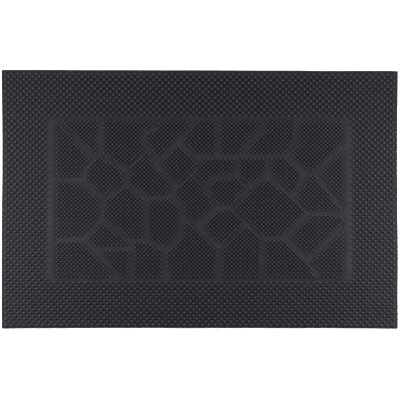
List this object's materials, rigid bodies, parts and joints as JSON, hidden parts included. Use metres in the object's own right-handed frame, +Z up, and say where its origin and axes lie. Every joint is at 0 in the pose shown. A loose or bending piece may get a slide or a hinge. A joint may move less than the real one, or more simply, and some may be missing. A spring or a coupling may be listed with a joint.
{
  "type": "door mat",
  "caption": "Rectangular moulded rubber scraper mat: coarse pins around the border, fine pins on a crazy-paving pattern of stones inside a smooth frame band, bare joints between them",
  "frame": {"origin": "Middle of the underside, on the floor the mat lies on", "axes": "+X along the long side, to the right as seen from the front edge; +Y towards the back edge; +Z up"},
  "size_m": [0.6, 0.4, 0.008],
  "materials": {
    "sheet_rubber": "smooth moulded charcoal rubber, satin, dull in the joints",
    "border_rubber": "moulded charcoal rubber pins with rounded satin tips",
    "band_rubber": "smooth moulded charcoal rubber, satin",
    "stone_rubber": "fine moulded charcoal rubber pins with rounded satin tips",
    "underside_rubber": "matt moulded black rubber with round nubs"
  },
  "bodies": {
    "root": {"underside_grip": "underside_rubber", "base_sheet": "sheet_rubber", "border_back": "border_rubber", "border_front": "border_rubber", "border_left": "border_rubber", "border_right": "border_rubber", "band_back": "band_rubber", "band_front": "band_rubber", "band_left": "band_rubber", "band_right": "band_rubber", "stone_01": "stone_rubber", "stone_02": "stone_rubber", "stone_03": "stone_rubber", "stone_04": "stone_rubber", "stone_05": "stone_rubber", "stone_06": "stone_rubber", "stone_07": "stone_rubber", "stone_08": "stone_rubber", "stone_09": "stone_rubber", "stone_10": "stone_rubber", "stone_11": "stone_rubber", "stone_12": "stone_rubber", "stone_13": "stone_rubber", "stone_14": "stone_rubber", "stone_15": "stone_rubber", "stone_16": "stone_rubber", "stone_17": "stone_rubber", "stone_18": "stone_rubber", "stone_19": "stone_rubber", "stone_20": "stone_rubber", "stone_21": "stone_rubber", "stone_22": "stone_rubber", "stone_23": "stone_rubber", "stone_24": "stone_rubber", "stone_25": "stone_rubber", "stone_26": "stone_rubber", "stone_27": "stone_rubber", "stone_28": "stone_rubber", "stone_29": "stone_rubber", "stone_30": "stone_rubber", "stone_31": "stone_rubber", "stone_32": "stone_rubber"}
  },
  "joints": []
}
